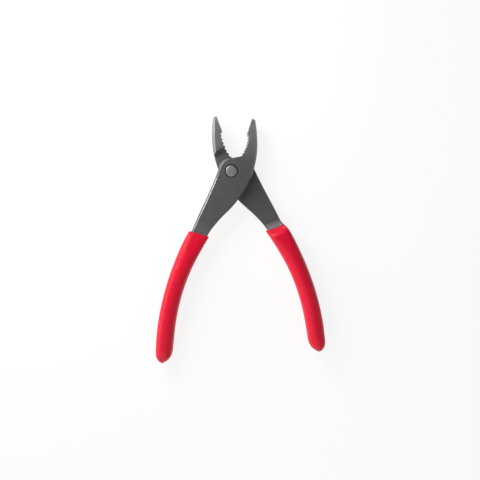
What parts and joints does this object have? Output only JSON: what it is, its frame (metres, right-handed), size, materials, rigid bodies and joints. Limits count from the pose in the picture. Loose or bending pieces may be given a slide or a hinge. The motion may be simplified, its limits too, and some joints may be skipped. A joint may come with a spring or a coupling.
{
  "type": "slip joint pliers",
  "caption": "Slip joint pliers with serrated flat jaw tips, a toothed pipe grip, a sliding pivot that resets the jaw opening, and thick dipped grips.",
  "frame": {"origin": "bolt axis, on the plane of the bolt's riveted end, which the pliers rest on when they lie flat", "axes": "+Y from the bolt towards the jaw tips as pictured, +X towards the front lever's jaw, +Z along the bolt towards its head"},
  "size_m": [0.1352, 0.1928, 0.0186],
  "materials": {
    "lever_steel": "dark grey, bead-blasted satin",
    "bolt_steel": "bare steel, ground satin",
    "nut_steel": "bright zinc plate",
    "grip_vinyl": "satin dipped vinyl"
  },
  "bodies": {
    "back_half": {"back_lever": "lever_steel", "back_grip": "grip_vinyl"},
    "slip_washer": {"nut_washer": "nut_steel"},
    "front_half": {"front_lever": "lever_steel", "front_grip": "grip_vinyl", "pivot_bolt": "bolt_steel", "pivot_nut": "nut_steel"}
  },
  "joints": [
    {"name": "slip", "type": "slide", "parent": "back_half", "child": "slip_washer", "axis": [0.9379, 0.3469, 0], "range_m": [0, 0.0074]},
    {"name": "pivot", "type": "hinge", "parent": "slip_washer", "child": "front_half", "pos_m": [0, 0, 0.0097], "axis": [0, 0, 1], "range_deg": [-28, 37]}
  ]
}
